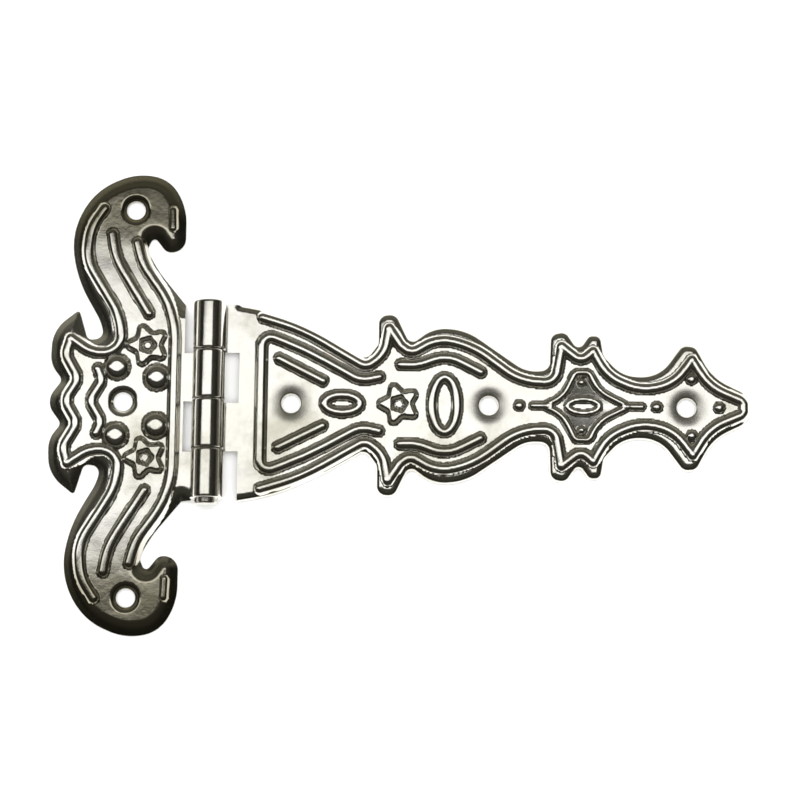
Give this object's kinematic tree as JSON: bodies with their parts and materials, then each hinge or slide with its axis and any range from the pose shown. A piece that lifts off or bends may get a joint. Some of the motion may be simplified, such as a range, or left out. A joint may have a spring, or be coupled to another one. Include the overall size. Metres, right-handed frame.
{
  "type": "decorative strap hinge",
  "caption": "Bright plated pressed-steel strap hinge: T-shaped frame leaf with curled lobes, long wavy tapering strap with raised beads, stars and rings, rolled knuckles on a plain pin.",
  "frame": {"origin": "midway between the frame leaf's two lobe screw holes, on the wall plane behind the leaves", "axes": "+X along the strap from the frame leaf to the strap's tip, +Y along the pin towards its flush end, +Z out of the wall, towards the pressed front"},
  "size_m": [0.1757, 0.1174, 0.0092],
  "materials": {
    "bright_plate": "polished",
    "pin_steel": "satin"
  },
  "bodies": {
    "frame_side": {"frame_leaf": "bright_plate", "hinge_pin": "pin_steel"},
    "strap_side": {"strap_leaf": "bright_plate"}
  },
  "joints": [
    {"name": "strap_swing", "type": "hinge", "parent": "frame_side", "child": "strap_side", "pos_m": [0.0196, 0, 0.00505], "axis": [0, -1, 0], "range_deg": [-100, 180]}
  ]
}
